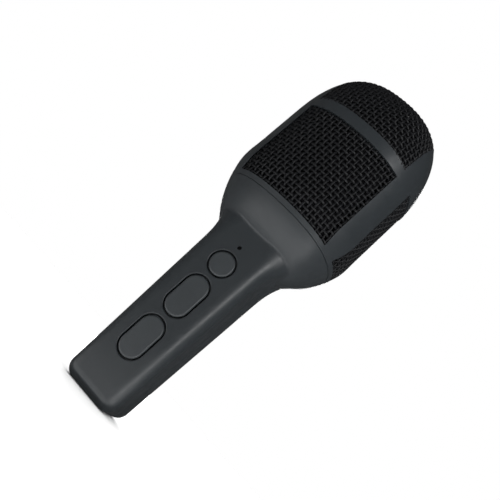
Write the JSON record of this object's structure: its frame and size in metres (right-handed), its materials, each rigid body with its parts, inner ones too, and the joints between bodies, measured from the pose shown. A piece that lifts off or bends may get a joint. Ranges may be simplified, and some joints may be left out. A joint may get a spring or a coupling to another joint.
{
  "type": "karaoke microphone",
  "caption": "Handheld microphone with a tapered grip, rounded-square wire-grille head with a loudspeaker inside, a round power key and long rocker keys on the front.",
  "frame": {"origin": "centre of the flat end of the grip, at the foot of the model's box", "axes": "+Z along the microphone from the flat end of the grip to the crown of the head; -Y is the button face; +X to the right when facing the buttons"},
  "size_m": [0.0748, 0.0752, 0.2079],
  "materials": {
    "shell_plastic": "satin charcoal moulded plastic with a fine grain",
    "key_plastic": "satin charcoal moulded plastic, a little lighter than the shell",
    "grille_wire": "woven wire, black powder coat",
    "inner_plastic": "plain black moulded plastic",
    "foam": "open-cell black foam",
    "basket_steel": "pressed steel, black coat",
    "magnet": "ferrite with steel plates",
    "cone_paper": "pressed paper pulp",
    "soft_rubber": "soft black rubber",
    "bright_metal": "nickel-plated steel",
    "circuit_board": "green solder mask",
    "switch_plastic": "black nylon",
    "led": "clear resin",
    "smoked_plastic": "smoked clear acrylic",
    "chip_plastic": "moulded epoxy",
    "connector_plastic": "natural nylon",
    "dark_screws": "black zinc-plated steel",
    "battery_sleeve": "shrink sleeve",
    "lead_sleeve": "PVC sleeve"
  },
  "bodies": {
    "housing": {"front_shell": "shell_plastic", "rear_shell": "shell_plastic", "grille_frame": "shell_plastic", "front_grille": "grille_wire", "rear_grille": "grille_wire", "left_grille": "grille_wire", "right_grille": "grille_wire", "top_grille": "grille_wire", "grille_liner": "inner_plastic", "foam_windscreen": "foam", "speaker_baffle": "inner_plastic", "speaker_basket": "basket_steel", "speaker_magnet": "magnet", "speaker_cone": "cone_paper", "speaker_dust_cap": "cone_paper", "speaker_surround": "soft_rubber", "speaker_gasket": "foam", "capsule_bridge": "inner_plastic", "capsule_holder": "soft_rubber", "microphone_capsule": "bright_metal", "key_carrier": "inner_plastic", "main_board": "circuit_board", "tact_switches": "switch_plastic", "status_led": "led", "led_light_pipe": "smoked_plastic", "board_chips": "chip_plastic", "battery_connector": "connector_plastic", "board_screws": "dark_screws", "shell_screws": "dark_screws", "battery_cell": "battery_sleeve", "battery_pad": "foam", "usb_socket": "bright_metal", "usb_tongue": "chip_plastic", "usb_board": "circuit_board", "capsule_leads": "lead_sleeve", "speaker_leads": "lead_sleeve", "battery_leads": "lead_sleeve"},
    "power_key": {"power_button": "key_plastic"},
    "upper_key": {"upper_rocker": "key_plastic"},
    "lower_key": {"lower_rocker": "key_plastic"}
  },
  "joints": [
    {"name": "power_press", "type": "slide", "parent": "housing", "child": "power_key", "axis": [0, 0.9995, 0.032], "range_m": [0, 0.0005], "stiffness_N_per_m": 600},
    {"name": "upper_tilt", "type": "hinge", "parent": "housing", "child": "upper_key", "pos_m": [0, -0.01383, 0.06027], "axis": [1, 0, 0], "range_deg": [-2.5, 2.5], "stiffness_Nm_per_rad": 0.3},
    {"name": "lower_tilt", "type": "hinge", "parent": "housing", "child": "lower_key", "pos_m": [0, -0.01297, 0.03359], "axis": [1, 0, 0], "range_deg": [-2.5, 2.5], "stiffness_Nm_per_rad": 0.3}
  ]
}
